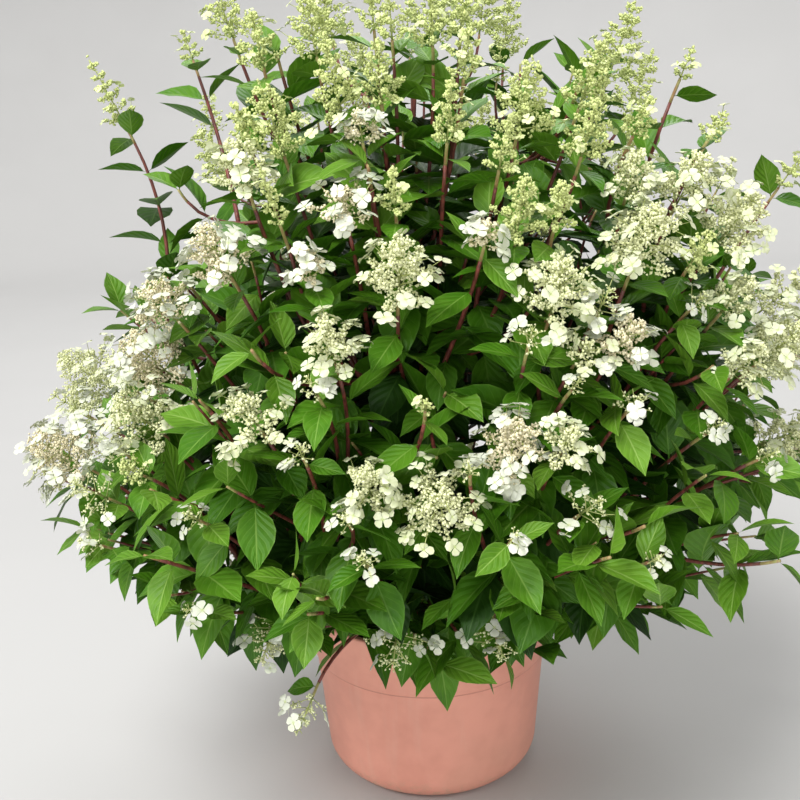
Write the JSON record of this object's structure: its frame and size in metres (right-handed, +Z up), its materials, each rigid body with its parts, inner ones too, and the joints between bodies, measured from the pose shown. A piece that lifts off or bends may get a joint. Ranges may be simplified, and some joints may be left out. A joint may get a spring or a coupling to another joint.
{
  "type": "hydrangea shrub in a pot",
  "caption": "Flowering hydrangea shrub with upright canes, opposite leaves and cone-shaped bloom in a round tapered planter with a tall rim band.",
  "frame": {"origin": "middle of the planter's flat underside", "axes": "+Z up along the planter's axis; -Y is the side that the picture shows; +X to the right in it"},
  "size_m": [1.6841, 1.7629, 1.7434],
  "materials": {
    "planter": "matte moulded plastic in terracotta colour",
    "compost": "rough, moist bark compost",
    "old_wood": "rough grey-brown bark",
    "canes": "smooth red-brown bark",
    "foliage": "soft satin leaves with cream and green bloom"
  },
  "bodies": {
    "root": {"planter": "planter", "soil": "compost", "stool": "old_wood", "cane_leader": "canes", "bough_top_1": "canes", "bough_top_2": "canes", "bough_top_3": "canes", "bough_top_4": "canes", "bough_top_5": "canes", "bough_upper_1": "canes", "bough_upper_2": "canes", "bough_upper_3": "canes", "bough_upper_4": "canes", "bough_upper_5": "canes", "bough_upper_6": "canes", "bough_upper_7": "canes", "bough_middle_1": "canes", "bough_middle_2": "canes", "bough_middle_3": "canes", "bough_middle_4": "canes", "bough_middle_5": "canes", "bough_middle_6": "canes", "bough_middle_7": "canes", "bough_skirt_1": "canes", "bough_skirt_2": "canes", "bough_skirt_3": "canes", "bough_skirt_4": "canes", "bough_skirt_5": "canes", "bough_skirt_6": "canes", "bough_skirt_7": "canes", "foliage_leader": "foliage", "foliage_top_1": "foliage", "foliage_top_2": "foliage", "foliage_top_3": "foliage", "foliage_top_4": "foliage", "foliage_top_5": "foliage", "foliage_upper_1": "foliage", "foliage_upper_2": "foliage", "foliage_upper_3": "foliage", "foliage_upper_4": "foliage", "foliage_upper_5": "foliage", "foliage_upper_6": "foliage", "foliage_upper_7": "foliage", "foliage_middle_1": "foliage", "foliage_middle_2": "foliage", "foliage_middle_3": "foliage", "foliage_middle_4": "foliage", "foliage_middle_5": "foliage", "foliage_middle_6": "foliage", "foliage_middle_7": "foliage", "foliage_skirt_1": "foliage", "foliage_skirt_2": "foliage", "foliage_skirt_3": "foliage", "foliage_skirt_4": "foliage", "foliage_skirt_5": "foliage", "foliage_skirt_6": "foliage", "foliage_skirt_7": "foliage"}
  },
  "joints": []
}
